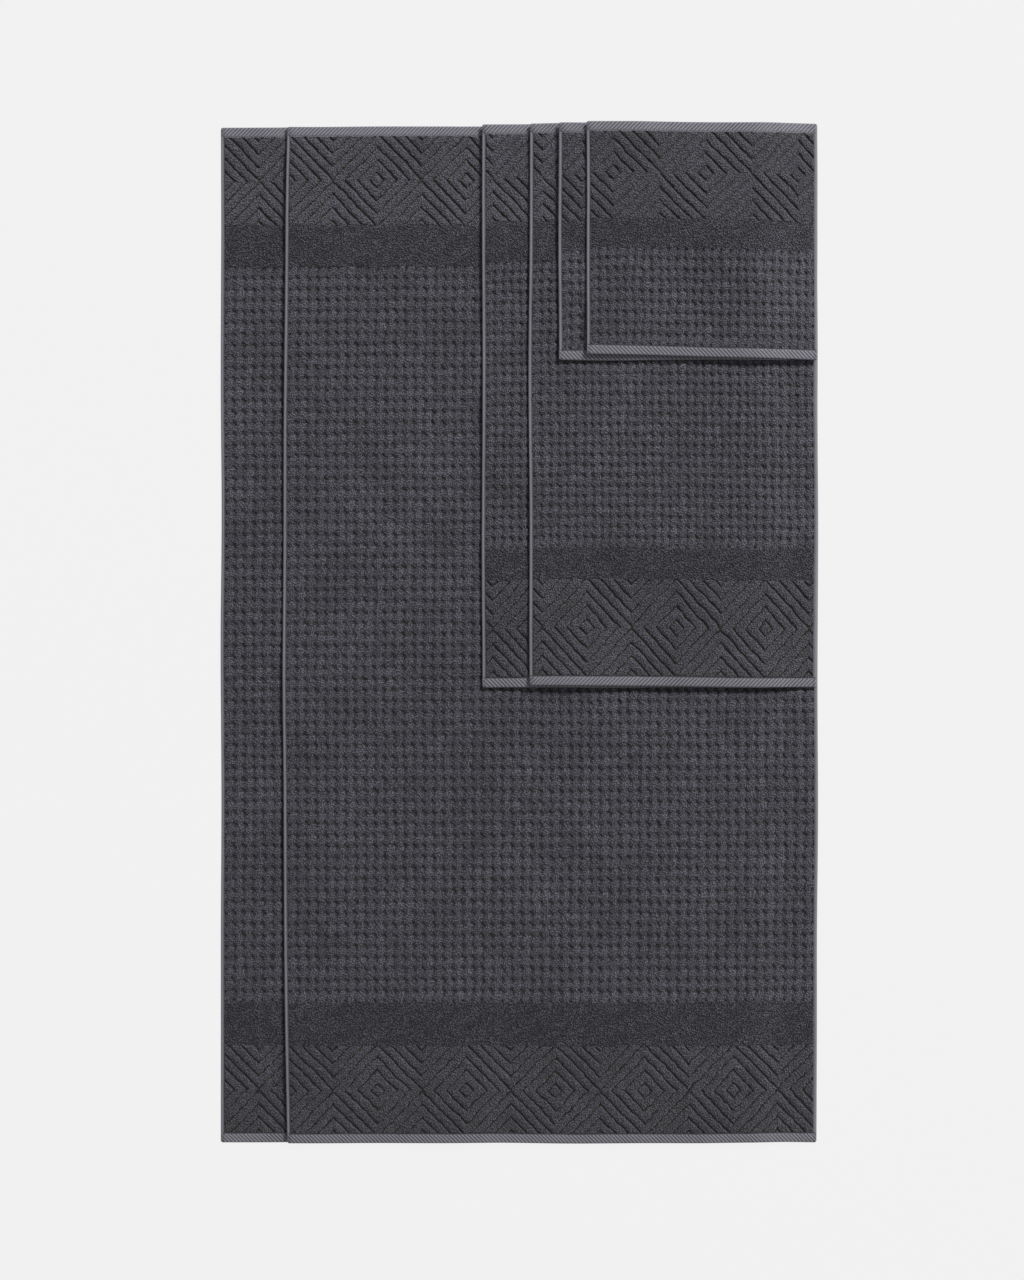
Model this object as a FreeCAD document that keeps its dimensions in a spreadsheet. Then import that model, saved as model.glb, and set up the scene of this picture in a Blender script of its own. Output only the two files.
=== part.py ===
import FreeCAD, Part
import math
import os

import Sketcher

# A set of six terry towels lying flat in one stack: two bath towels, two hand towels and two
# washcloths. All top edges line up. The upper towel of each pair lines up with the common right
# edge, and the lower one is set to the left, so that a strip of it shows.
# Frame: +X across the towels to the right, +Y along them to the top edge, +Z up. The origin is
# the middle of the stack's footprint, on the surface that it lies on. Lengths are millimetres.

SIZES = {
    # Bath towel: whole size, set-back of the lower one, and zone lengths from the two ends
    "bath_width": 714.0,
    "bath_length": 1372.0,
    "bath_reveal": 90.0,
    "bath_top_border": 120.0,
    "bath_top_band": 56.0,
    "bath_bottom_band": 59.0,
    "bath_bottom_border": 118.0,
    # Hand towel
    "hand_width": 387.0,
    "hand_length": 758.0,
    "hand_reveal": 64.0,
    "hand_top_border": 119.0,
    "hand_top_band": 54.0,
    "hand_bottom_band": 43.0,
    "hand_bottom_border": 130.0,
    # Washcloth, which has its border at the top end only
    "wash_width": 311.0,
    "wash_length": 318.0,
    "wash_reveal": 37.0,
    "wash_top_border": 120.0,
    "wash_top_band": 39.0,
    # Cloth
    "field_thickness": 4.2,
    "border_thickness": 4.0,
    "band_thickness": 3.4,
    "hem_thickness": 3.0,
    "end_hem_length": 13.5,
    "side_hem_width": 5.0,
    "corner_radius": 3.0,
    # Stack: the air between two towels, and the room between a hidden edge and the fold over it
    "layer_gap": 0.3,
    "drape_clearance": 1.0,
    # Sewing thread, which lies on the hems
    "thread_width": 0.8,
    "thread_height": 0.5,
    "stitch_margin": 1.0,
}

# Bottom of the stack to the top: kind, whether it is set back to the left, and how many hidden
# right edges lie under it, which it steps down over.
TOWELS = {
    "lower_bath": ("bath", True, 0),
    "upper_bath": ("bath", False, 1),
    "lower_hand": ("hand", True, 1),
    "upper_hand": ("hand", False, 2),
    "lower_wash": ("wash", True, 2),
    "upper_wash": ("wash", False, 3),
}

# Sketcher's numbers for a line's two ends, an arc's centre, and the sketch's own two axes, the
# first of which starts at the sketch's origin. TOUCH is how near two equal places come.
START, END, CENTRE = 1, 2, 3
LEVEL_AXIS, UPRIGHT_AXIS = -1, -2
TOUCH = 1e-6

doc = FreeCAD.newDocument("TowelSet")


# ---------------------------------------------------------------- sizes


class Formula:
    """A length worked out from the sheet: the expression, and what it comes to now."""

    def __init__(self, text, value):
        self.text = text
        self.value = value

    def __add__(self, other):
        return Formula(f"({self.text} + {other.text})", self.value + other.value)

    def __sub__(self, other):
        return Formula(f"({self.text} - {other.text})", self.value - other.value)

    def times(self, factor):
        return Formula(f"({factor} * {self.text})", factor * self.value)


    def or_more(self, other):
        return Formula(f"max({self.text}; {other.text})", max(self.value, other.value))


NOTHING = Formula("0", 0.0)


def make_sheet():
    """Puts each size in a cell of its own, with its name as the alias."""
    sheet = doc.addObject("Spreadsheet::Sheet", "Sizes")
    for row, (name, value) in enumerate(SIZES.items(), start=1):
        sheet.set(f"A{row}", name)
        sheet.set(f"B{row}", str(value))
        sheet.setAlias(f"B{row}", name)
    doc.recompute()


def size(name):
    """The formula that reads one size from the sheet."""
    return Formula(f"Sizes.{name}", SIZES[name])


def cloth_height():
    """How high a towel stands at its thickest: a woven zone, or a hem with thread on it."""
    tallest = size("field_thickness").or_more(size("border_thickness"))
    tallest = tallest.or_more(size("band_thickness"))
    return tallest.or_more(size("hem_thickness") + size("thread_height"))


# ---------------------------------------------------------------- towels


class Towel:
    """One towel of the stack: where its edges are, and the levels that it lies at."""

    def __init__(self, name, layer):
        kind, set_back, self.steps = TOWELS[name]
        self.name = name
        self.kind = kind
        self.width = size(f"{kind}_width")
        self.length = size(f"{kind}_length")
        self.top = size("bath_length").times(0.5)
        self.common_right = (size("bath_width") + size("bath_reveal")).times(0.5)
        self.right = self.common_right - (size(f"{kind}_reveal") if set_back else NOTHING)
        self.left = self.right - self.width
        self.level = (cloth_height() + size("layer_gap")).times(layer)

    def folds(self):
        """Each step down over a hidden edge, as the places across where it starts and ends."""
        reveals = [size("bath_reveal"), size("hand_reveal"), size("wash_reveal"), NOTHING]
        clearance = size("drape_clearance")
        found = []
        for step in range(self.steps):
            start = self.common_right - reveals[step] + clearance
            end = self.common_right - reveals[step + 1] - size("side_hem_width") - clearance
            found.append((start, end))
        return found

    def zones(self):
        """The woven zones from the top edge down: name, length and thickness of each."""
        hem = (size("end_hem_length"), size("hem_thickness"))
        border = size("border_thickness")
        band = size("band_thickness")
        if self.kind == "wash":
            above = [
                ("diamond_border", size("wash_top_border"), border),
                ("plain_band", size("wash_top_band"), band),
            ]
            below = []
        else:
            above = [
                ("diamond_border_top", size(f"{self.kind}_top_border"), border),
                ("plain_band_top", size(f"{self.kind}_top_band"), band),
            ]
            below = [
                ("plain_band_bottom", size(f"{self.kind}_bottom_band"), band),
                ("diamond_border_bottom", size(f"{self.kind}_bottom_border"), border),
            ]
        rest = self.length - size("end_hem_length").times(2)
        for _, length, _ in above + below:
            rest = rest - length
        field = ("field", rest, size("field_thickness"))
        return [("end_hem_top", *hem), *above, field, *below, ("end_hem_bottom", *hem)]


# ---------------------------------------------------------------- sketches and solids


def section_sketch(body, name):
    """A sketch in the body's upright plane across the towel, X to the right and Z up."""
    sketch = body.newObject("Sketcher::SketchObject", name)
    plane = next(item for item in body.Origin.OriginFeatures if item.Role == "XZ_Plane")
    sketch.AttachmentSupport = (plane, [""])
    sketch.MapMode = "FlatFace"
    return sketch


def tie(sketch, item, point, across, up):
    """Ties a point of the sketch to the sheet by its distances from the sketch's origin."""
    places = (("DistanceX", across, UPRIGHT_AXIS), ("DistanceY", up, LEVEL_AXIS))
    for kind, place, axis in places:
        if place is NOTHING:
            sketch.addConstraint(Sketcher.Constraint("PointOnObject", item, point, axis))
            continue
        number = sketch.addConstraint(
            Sketcher.Constraint(kind, LEVEL_AXIS, START, item, point, place.value)
        )
        sketch.setExpression(f"Constraints[{number}]", place.text)


def outline(sketch, corners):
    """A closed outline of straight sides, with each corner tied to the sheet."""
    points = [FreeCAD.Vector(across.value, up.value, 0) for across, up in corners]
    following = points[1:] + points[:1]
    sides = [Part.LineSegment(start, end) for start, end in zip(points, following)]
    sketch.addGeometry(sides, False)
    for side in range(len(sides)):
        after = (side + 1) % len(sides)
        sketch.addConstraint(Sketcher.Constraint("Coincident", side, END, after, START))
    for side, (across, up) in enumerate(corners):
        tie(sketch, side, START, across, up)


def pad(body, sketch, length):
    """Pads a section along the towel, from its top end towards the bottom."""
    solid = body.newObject("PartDesign::Pad", f"{body.Name}_pad")
    solid.Profile = sketch
    solid.setExpression("Length", length.text)
    return solid


def place(item, across, along, up):
    """Ties an object's place to the sheet."""
    item.setExpression("Placement.Base.x", across.text)
    item.setExpression("Placement.Base.y", along.text)
    item.setExpression("Placement.Base.z", up.text)


def layer_slab(name, towel, start, end, thickness, along, length, raised=NOTHING):
    """A length of cloth or thread that follows the towel down over the edges under it.

    Its section runs from start to end across the towel. The sketch's origin is the slab's left
    end, at the towel's highest level.
    """
    body = doc.addObject("PartDesign::Body", name)
    body.Label = name
    sketch = section_sketch(body, f"{name}_section")
    drop = cloth_height()
    under = [(NOTHING, NOTHING)]
    for step, (fold_start, fold_end) in enumerate(towel.folds()):
        before = NOTHING if step == 0 else drop.times(-step)
        under.append((fold_start - start, before))
        under.append((fold_end - start, drop.times(-step - 1)))
    lowest = NOTHING if towel.steps == 0 else drop.times(-towel.steps)
    under.append((end - start, lowest))
    over = [(across, up + thickness) for across, up in reversed(under)]
    outline(sketch, under + over)
    solid = pad(body, sketch, length)
    place(body, start, along, towel.level + raised)
    return body, solid


def end_hem(name, towel, thickness, along, length, at_top):
    """An end hem over the towel's whole width, with its two outer corners rounded."""
    body, solid = layer_slab(name, towel, towel.left, towel.right, thickness, along, length)
    doc.recompute()
    outer = 0.0 if at_top else -length.value
    corners = []
    for number, edge in enumerate(solid.Shape.Edges, start=1):
        first, last = edge.Vertexes[0].Point, edge.Vertexes[-1].Point
        upright = abs(first.x - last.x) < TOUCH and abs(first.z - last.z) > TOUCH
        at_end = abs(first.y - outer) < TOUCH and abs(last.y - outer) < TOUCH
        at_side = min(abs(first.x), abs(first.x - towel.width.value)) < TOUCH
        if upright and at_end and at_side:
            corners.append(f"Edge{number}")
    rounding = body.newObject("PartDesign::Fillet", f"{name}_corners")
    rounding.Base = (solid, corners)
    rounding.setExpression("Radius", size("corner_radius").text)
    return body


def side_hem(name, towel, on_left, along, length):
    """A side hem between the end hems: a narrow turned strip with a half-round outer edge."""
    body = doc.addObject("PartDesign::Body", name)
    body.Label = name
    sketch = section_sketch(body, f"{name}_section")
    width = size("side_hem_width")
    thickness = size("hem_thickness")
    radius = thickness.times(0.5)
    inner = width if on_left else NOTHING
    round_at = radius if on_left else width - radius
    middle = FreeCAD.Vector(round_at.value, radius.value, 0)
    corners = [(round_at, NOTHING), (inner, NOTHING), (inner, thickness), (round_at, thickness)]
    points = [FreeCAD.Vector(across.value, up.value, 0) for across, up in corners]
    sides = [Part.LineSegment(points[side], points[side + 1]) for side in range(3)]
    circle = Part.Circle(middle, FreeCAD.Vector(0, 0, 1), radius.value)
    lowest = circle.parameter(points[0])
    first = lowest - math.pi if on_left else lowest
    sides.append(Part.ArcOfCircle(circle, first, first + math.pi))
    sketch.addGeometry(sides, False)
    arc = 3
    at_bottom, at_top = (END, START) if on_left else (START, END)
    sketch.addConstraint(Sketcher.Constraint("Coincident", 0, END, 1, START))
    sketch.addConstraint(Sketcher.Constraint("Coincident", 1, END, 2, START))
    sketch.addConstraint(Sketcher.Constraint("Coincident", 2, END, arc, at_top))
    sketch.addConstraint(Sketcher.Constraint("Coincident", arc, at_bottom, 0, START))
    for side, (across, up) in enumerate(corners[:3]):
        tie(sketch, side, START, across, up)
    tie(sketch, 2, END, round_at, thickness)
    number = sketch.addConstraint(
        Sketcher.Constraint("DistanceX", LEVEL_AXIS, START, arc, CENTRE, round_at.value)
    )
    sketch.setExpression(f"Constraints[{number}]", round_at.text)
    pad(body, sketch, length)
    drop = cloth_height().times(0 if on_left else -towel.steps)
    across = towel.left if on_left else towel.right - width
    place(body, across, along, towel.level + drop)
    return body


def stitching(towel):
    """The seams that hold the hems: one run of thread along each side and across each end."""
    width = size("thread_width")
    height = size("thread_height")
    margin = size("stitch_margin")
    hem = size("side_hem_width")
    lift = size("hem_thickness")
    inset = size("corner_radius")
    bottom = towel.top - towel.length
    runs = []
    side_places = {
        "left": (towel.left + hem - margin - width, NOTHING),
        "right": (towel.right - hem + margin, cloth_height().times(-towel.steps)),
    }
    for side, (across, drop) in side_places.items():
        run = doc.addObject("Part::Box", f"{towel.name}_{side}_seam")
        run.setExpression("Length", width.text)
        run.setExpression("Width", (towel.length - inset.times(2)).text)
        run.setExpression("Height", height.text)
        place(run, across, bottom + inset, towel.level + drop + lift)
        runs.append(run)
    hem_length = size("end_hem_length")
    end_places = {
        "top": towel.top - hem_length + margin + width,
        "bottom": bottom + hem_length - margin,
    }
    for side, along in end_places.items():
        start = towel.left + hem
        end = towel.right - hem
        name = f"{towel.name}_{side}_seam"
        run, _ = layer_slab(name, towel, start, end, height, along, width, raised=lift)
        runs.append(run)
    group = doc.addObject("Part::Compound", f"{towel.name}_stitching")
    group.Label = group.Name
    group.Links = runs
    return group


def make_towel(name, layer):
    """Every piece of one towel, in the order of its zones, then the side hems and the seams."""
    towel = Towel(name, layer)
    hem = size("side_hem_width")
    pieces = []
    along = towel.top
    for zone, length, thickness in towel.zones():
        node = f"{name}_{zone}"
        if zone.startswith("end_hem"):
            at_top = zone.endswith("top")
            pieces.append(end_hem(node, towel, thickness, along, length, at_top))
        else:
            start = towel.left + hem
            end = towel.right - hem
            pieces.append(layer_slab(node, towel, start, end, thickness, along, length)[0])
        along = along - length
    hem_start = towel.top - size("end_hem_length")
    hem_run = towel.length - size("end_hem_length").times(2)
    pieces.append(side_hem(f"{name}_side_hem_left", towel, True, hem_start, hem_run))
    pieces.append(side_hem(f"{name}_side_hem_right", towel, False, hem_start, hem_run))
    pieces.append(stitching(towel))
    return pieces


# ---------------------------------------------------------------- build, check and write


def check(nodes):
    """Stops if an object failed, or if a node's shape is empty or broken."""
    for item in doc.Objects:
        if "Invalid" in item.State or "Error" in item.State:
            raise RuntimeError(f"{item.Name} failed: {item.State}")
    for node in nodes:
        if node.Shape.isNull() or not node.Shape.isValid() or node.Shape.Volume <= 0:
            raise RuntimeError(f"{node.Label} has no valid solid")


def main():
    make_sheet()
    nodes = []
    for layer, name in enumerate(TOWELS):
        nodes += make_towel(name, layer)
    doc.recompute()
    check(nodes)
    os.makedirs("parts", exist_ok=True)
    for node in nodes:
        node.Shape.exportStep(f"parts/{node.Label}.step")
    box = FreeCAD.BoundBox()
    for node in nodes:
        box.add(node.Shape.BoundBox)
    print(f"{len(nodes)} nodes, {box.XLength:.1f} x {box.YLength:.1f} x {box.ZLength:.1f} mm")


main()
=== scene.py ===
"""Bath towel set: six charcoal cotton terry towels laid flat in one fanned stack.

Each towel is woven in one piece and shown as its zones: a field of puffy terry blocks, plain
bands, borders with a sculpted diamond lattice, flat twill end hems, turned side hems and the
seams that hold them. Every zone is a closed shell with relief on both faces, as the pile is.
Lengths are metres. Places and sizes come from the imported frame.
"""

import logging
import math
from collections.abc import Callable
from dataclasses import dataclass, field
from enum import Enum
from functools import partial

import bpy
import numpy as np
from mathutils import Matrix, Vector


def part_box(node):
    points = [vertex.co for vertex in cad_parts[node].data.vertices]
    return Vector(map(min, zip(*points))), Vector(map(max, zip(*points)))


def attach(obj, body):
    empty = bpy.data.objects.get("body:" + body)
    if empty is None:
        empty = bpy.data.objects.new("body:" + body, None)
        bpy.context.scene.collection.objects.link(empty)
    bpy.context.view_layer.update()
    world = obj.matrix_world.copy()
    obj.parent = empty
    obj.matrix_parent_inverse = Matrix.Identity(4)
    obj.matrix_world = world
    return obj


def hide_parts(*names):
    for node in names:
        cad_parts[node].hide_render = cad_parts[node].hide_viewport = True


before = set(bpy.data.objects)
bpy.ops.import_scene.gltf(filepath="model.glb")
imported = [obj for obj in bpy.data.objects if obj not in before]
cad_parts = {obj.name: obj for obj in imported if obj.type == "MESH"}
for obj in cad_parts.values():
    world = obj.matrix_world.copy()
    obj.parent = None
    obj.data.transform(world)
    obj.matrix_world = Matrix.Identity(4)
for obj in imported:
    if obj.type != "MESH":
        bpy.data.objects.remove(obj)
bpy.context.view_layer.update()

LOG = logging.getLogger("towels")
MM = 0.001
EDGE = 1.7 * MM  # how far the pile stands off the cloth's middle where two zones meet
UNDERSIDE = 0.62  # how much of the top's relief the side that is lain on keeps
CREASE = math.radians(80)  # edges of the mesh that turn more than this stay sharp
WAVE = 0.314  # how far apart the bands of a wave texture are at a scale of 1
Array = np.ndarray
Faces = list[tuple[int, ...]]
Tree = bpy.types.NodeTree
Socket = bpy.types.NodeSocket


class Size(Enum):
    """The three sizes of towel in the set, as the CAD nodes name them."""

    BATH = "bath"
    HAND = "hand"
    WASH = "wash"


class Slant(Enum):
    """Which way the ribs of a twill hem run, seen from above."""

    RISING = 1.0
    FALLING = -1.0


class Side(Enum):
    """The two long sides of a towel."""

    LEFT = "left"
    RIGHT = "right"


# ---------------------------------------------------------------- colour and nodes


def linear(code: str) -> tuple[float, float, float, float]:
    """Turns an sRGB hex colour to linear.

    Args:
        code: six hex digits.

    Returns:
        The linear red, green and blue, and an alpha of 1.
    """
    channels = [int(code[i : i + 2], 16) / 255 for i in (0, 2, 4)]
    red, green, blue = [c / 12.92 if c <= 0.04045 else ((c + 0.055) / 1.055) ** 2.4 for c in channels]
    return red, green, blue, 1.0


def add_node(
    tree: Tree,
    kind: str,
    settings: dict[str, object] | None = None,
    inputs: dict[str | int, object] | None = None,
) -> bpy.types.Node:
    """Adds a shader node, sets its properties, and fills or links its inputs.

    Args:
        tree: the tree that the node goes in.
        kind: the node's type, without the ShaderNode that each one starts with.
        settings: its properties by name.
        inputs: its inputs by name or number, each a value, a node (for its first output) or an output.

    Returns:
        The new node.
    """
    made = tree.nodes.new(f"ShaderNode{kind}")
    for name, value in (settings or {}).items():
        setattr(made, name, value)
    for name, value in (inputs or {}).items():
        if isinstance(value, bpy.types.Node):
            value = value.outputs[0]
        if isinstance(value, Socket):
            tree.links.new(value, made.inputs[name])
        else:
            made.inputs[name].default_value = value
    return made


def make_material(
    name: str, build: Callable[[Tree], dict[str, object]], even: dict[str, object]
) -> bpy.types.Material:
    """Makes a material from what varies over the surface and what is the same all over.

    Args:
        name: the finish's name.
        build: adds the nodes of what varies, and gives the shader's inputs that they feed.
        even: the shader's inputs that are the same all over.

    Returns:
        The material.
    """
    material = bpy.data.materials.new(name)
    material.use_nodes = True
    tree = material.node_tree
    tree.nodes.clear()
    surface = add_node(tree, "BsdfPrincipled", inputs={**build(tree), **even})
    add_node(tree, "OutputMaterial", inputs={"Surface": surface})
    return material


# ---------------------------------------------------------------- finishes

TIMES = {"operation": "MULTIPLY"}
TIMES_PLUS = {"operation": "MULTIPLY_ADD"}
LESS = {"operation": "SUBTRACT"}
SMOOTH = {"interpolation_type": "SMOOTHSTEP"}
COLOURS = {"data_type": "RGBA"}
DARK, LIGHT, BLEND = 6, 7, 2  # a colour Mix node's two colour inputs and its colour output


@dataclass(frozen=True)
class TerryPile:
    """Cotton terry, or towelling: uncut loops of soft yarn that stand on a ground weave.

    The loom feeds one warp slack and beats it up into loops. They scatter light, so the cloth
    is matt with a faint sheen at grazing angles, and the ground weave between them lies in
    shade, so grooves read darker than crowns. A real loop is about 1.5 mm across, which is too
    fine to show, so loops are drawn 2.4 mm across.
    """

    name: str
    crown: str
    root: str
    loop: float = 2.4 * MM
    clump: float = 4.5 * MM  # loops lean together in clumps of this size
    cast: float = 90.0 * MM  # painted light and shade in soft patches of this size, as the brushed pile and the cloth's gentle waves catch the light unevenly
    relief: float = 1.2 * MM
    speckle: float = 0.75  # how much of the tone the loops' own light and shade takes
    sheen: float = 0.2

    def cut(self, tree: Tree, place: Socket) -> Socket | None:
        """How deep the pattern's own lines cut into the pile: nowhere, for plain terry."""
        return None

    def thin_line(self, tree: Tree, place: Socket, away: Socket, wide: float) -> Socket:
        """A thin uneven line, as loops close over it here and there.

        Args:
            tree: the material's tree.
            place: the place on the object.
            away: how far the place is from the line's middle.
            wide: the line's half width.

        Returns:
            The line's share, 1 in its middle and 0 off it.
        """
        uneven = 1.6 * MM
        rough = add_node(tree, "TexNoise", inputs={"Vector": place, "Scale": 1 / (4 * MM)})
        size = add_node(tree, "Math", {"operation": "ABSOLUTE"}, {0: away})
        varied = add_node(tree, "Math", TIMES_PLUS, {0: rough, 1: uneven, 2: size})
        fade = {"From Min": 0.5 * uneven + wide, "From Max": 0.5 * uneven + 0.35 * wide}
        return add_node(tree, "MapRange", SMOOTH, {"Value": varied, **fade}).outputs[0]

    def build(self, tree: Tree) -> dict[str, object]:
        """The colour and height, from each place's tone and painted light and shade, and the loops' pattern.

        Args:
            tree: the material's tree.

        Returns:
            The shader's colour and normal.
        """
        place = add_node(tree, "TexCoord").outputs["Object"]
        # Each vertex's tone: the pile's own colour, with light and shade painted on the relief.
        tone_and_shade = add_node(tree, "Attribute", {"attribute_name": "tone_and_shade"}).outputs["Fac"]
        cloth = add_node(tree, "UVMap", {"uv_map": "cloth"})
        one_each = {"Vector": cloth, "Scale": 1.0 / self.loop}
        loops = add_node(tree, "TexVoronoi", {"voronoi_dimensions": "2D"}, one_each)
        rounded = add_node(tree, "MapRange", SMOOTH, {"Value": loops, "From Min": 0.62, "From Max": 0.08})
        chance = add_node(tree, "SeparateColor", inputs={"Color": loops.outputs["Color"]})
        facing = add_node(tree, "MapRange", inputs={"Value": chance, "To Min": 0.3, "To Max": 1.5})
        loop_tone = add_node(tree, "Math", TIMES, {0: rounded, 1: facing})
        lit = add_node(tree, "Math", TIMES_PLUS, {0: loop_tone, 1: self.speckle, 2: 1.0 - self.speckle})
        share = add_node(tree, "Math", TIMES, {0: tone_and_shade, 1: lit})
        leaning = {"Vector": place, "Scale": 1.0 / self.clump, "Detail": 3.0, "Roughness": 0.6}
        clumps = add_node(tree, "TexNoise", inputs=leaning)
        height = add_node(tree, "Math", TIMES_PLUS, {0: clumps, 1: 1.2, 2: loop_tone})
        cut = self.cut(tree, place)
        # A cut lowers the bump and also darkens the colour: the darkening is painted shade in the cut.
        if cut is not None:
            uncut = add_node(tree, "Math", LESS, {0: 1.0, 1: cut})
            share = add_node(tree, "Math", TIMES, {0: share, 1: uncut})
            height = add_node(tree, "Math", TIMES_PLUS, {0: cut, 1: -1.6, 2: height})
        blend = {"Factor": share, DARK: linear(self.root), LIGHT: linear(self.crown)}
        colour = add_node(tree, "Mix", COLOURS, blend).outputs[BLEND]
        # Painted light and shade in soft patches, from the brushed pile and gentle waves.
        shade_patches = {"Vector": place, "Scale": 1.0 / self.cast, "Detail": 2.0}
        cast = add_node(tree, "TexNoise", inputs=shade_patches)
        tone = add_node(tree, "Math", TIMES_PLUS, {0: clumps, 1: 1.0, 2: 0.15})
        tone = add_node(tree, "Math", TIMES_PLUS, {0: cast, 1: 0.7, 2: tone})
        toned = add_node(tree, "HueSaturation", inputs={"Value": tone, "Color": colour})
        raised = {"Strength": 1.0, "Distance": self.relief, "Height": height}
        return {"Base Color": toned, "Normal": add_node(tree, "Bump", inputs=raised)}

    def material(self) -> bpy.types.Material:
        """Builds the terry: rough cotton with little gloss and a soft sheen."""
        even = {"Roughness": 0.95, "Specular IOR Level": 0.2, "Sheen Roughness": 0.6}
        return make_material(self.name, self.build, {**even, "Sheen Weight": self.sheen})


@dataclass(frozen=True)
class BlockTerry(TerryPile):
    """Terry in blocks of loops, with a short slanting dip where four blocks meet.

    Common name: popcorn or waffle-block terry. Each dip is painted dark as shade, where the
    rounded corners of the blocks turn from the light, in a stroke about 10 mm long and 3 mm wide.
    """

    cell: tuple[float, float] = (12.5 * MM, 14.6 * MM)
    shaded_cut_length: float = 5.2 * MM
    shaded_cut_width: float = 1.5 * MM

    def cut(self, tree: Tree, place: Socket) -> Socket:
        """The slanting dips at the blocks' corners, each of its own depth, painted dark as shade.

        Args:
            tree: the material's tree.
            place: the place on the object.

        Returns:
            The depth of the cut, 0 to 1.
        """
        half = (0.5, 0.5, 0.0)
        block = add_node(tree, "UVMap", {"uv_map": "block"})
        moved = add_node(tree, "VectorMath", {"operation": "ADD"}, {0: block, 1: half})
        corner = add_node(tree, "VectorMath", {"operation": "FLOOR"}, {0: moved})
        part = add_node(tree, "VectorMath", {"operation": "FRACTION"}, {0: moved})
        off = add_node(tree, "VectorMath", LESS, {0: part, 1: half})
        width, height = (size / math.sqrt(2) for size in self.cell)
        along, across = [
            add_node(tree, "VectorMath", {"operation": "DOT_PRODUCT"}, {0: off, 1: axis}).outputs["Value"]
            for axis in ((width, -height, 0.0), (width, height, 0.0))
        ]
        reach = add_node(tree, "Math", {"operation": "ABSOLUTE"}, {0: along})
        fade = {"From Min": self.shaded_cut_length, "From Max": 0.5 * self.shaded_cut_length}
        end = add_node(tree, "MapRange", SMOOTH, {"Value": reach, **fade})
        chance = add_node(tree, "TexWhiteNoise", inputs={"Vector": corner})
        depth = add_node(tree, "MapRange", inputs={"Value": chance, "To Min": 0.3, "To Max": 1.1})
        line = self.thin_line(tree, place, across, self.shaded_cut_width)
        stroke = add_node(tree, "Math", TIMES, {0: line, 1: end})
        return add_node(tree, "Math", {**TIMES, "use_clamp": True}, {0: stroke, 1: depth}).outputs[0]


@dataclass(frozen=True)
class DiamondTerry(TerryPile):
    """Sculpted terry: a lattice of narrow grooves where the loom leaves the pile out, each painted with a
    thin line of shade.
    """

    groove_width: float = 2.1 * MM

    def cut(self, tree: Tree, place: Socket) -> Socket:
        """The depth of the grooves, from each place's distance to the nearest one."""
        away = add_node(tree, "Attribute", {"attribute_name": "groove"}).outputs["Fac"]
        return self.thin_line(tree, place, away, self.groove_width)


@dataclass(frozen=True)
class FlatWeave:
    """Flat-woven cotton of a turned hem or a twill end.

    With no pile to shade it, the same dyed yarn looks lighter than terry, and its ribs catch
    the light along their tops. The real yarns are about 0.5 mm apart, which is too fine to
    show, so they are drawn 1.1 mm apart.
    """

    name: str
    crown: str
    root: str
    yarn: float = 1.1 * MM
    relief: float = 0.25 * MM
    cast: float = 60.0 * MM  # the yarn is worn lighter or darker in patches of this size

    def build(self, tree: Tree) -> dict[str, object]:
        """Two crossed sets of fine yarns, brighter on the ribs' tops.

        Args:
            tree: the material's tree.

        Returns:
            The shader's colour and normal.
        """
        cloth = add_node(tree, "UVMap", {"uv_map": "cloth"})
        place = add_node(tree, "TexCoord").outputs["Object"]
        tone_and_shade = add_node(tree, "Attribute", {"attribute_name": "tone_and_shade"}).outputs["Fac"]
        yarns = {"Vector": cloth, "Scale": WAVE / self.yarn, "Distortion": 0.6, "Detail": 1.0}
        warp, weft = [
            add_node(tree, "TexWave", {"bands_direction": axis}, yarns).outputs["Fac"] for axis in ("X", "Y")
        ]
        woven = add_node(tree, "Math", TIMES, {0: warp, 1: weft})
        patches = {"Vector": place, "Scale": 1.0 / self.cast, "Detail": 4.0, "Roughness": 0.7}
        cast = add_node(tree, "TexNoise", inputs=patches)
        share = add_node(tree, "Math", TIMES_PLUS, {0: woven, 1: 0.25, 2: tone_and_shade})
        worn = add_node(tree, "Math", {**TIMES_PLUS, "use_clamp": True}, {0: cast, 1: 0.5, 2: share})
        lower = add_node(tree, "Math", {**LESS, "use_clamp": True}, {0: worn, 1: 0.25})
        blend = {"Factor": lower, DARK: linear(self.root), LIGHT: linear(self.crown)}
        colour = add_node(tree, "Mix", COLOURS, blend).outputs[BLEND]
        raised = {"Strength": 0.8, "Distance": self.relief, "Height": woven}
        return {"Base Color": colour, "Normal": add_node(tree, "Bump", inputs=raised)}

    def material(self) -> bpy.types.Material:
        """Builds the flat weave: smoother than terry, so a little glossier."""
        even = {"Roughness": 0.85, "Specular IOR Level": 0.25, "Sheen Weight": 0.15, "Sheen Roughness": 0.5}
        return make_material(self.name, self.build, even)


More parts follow.
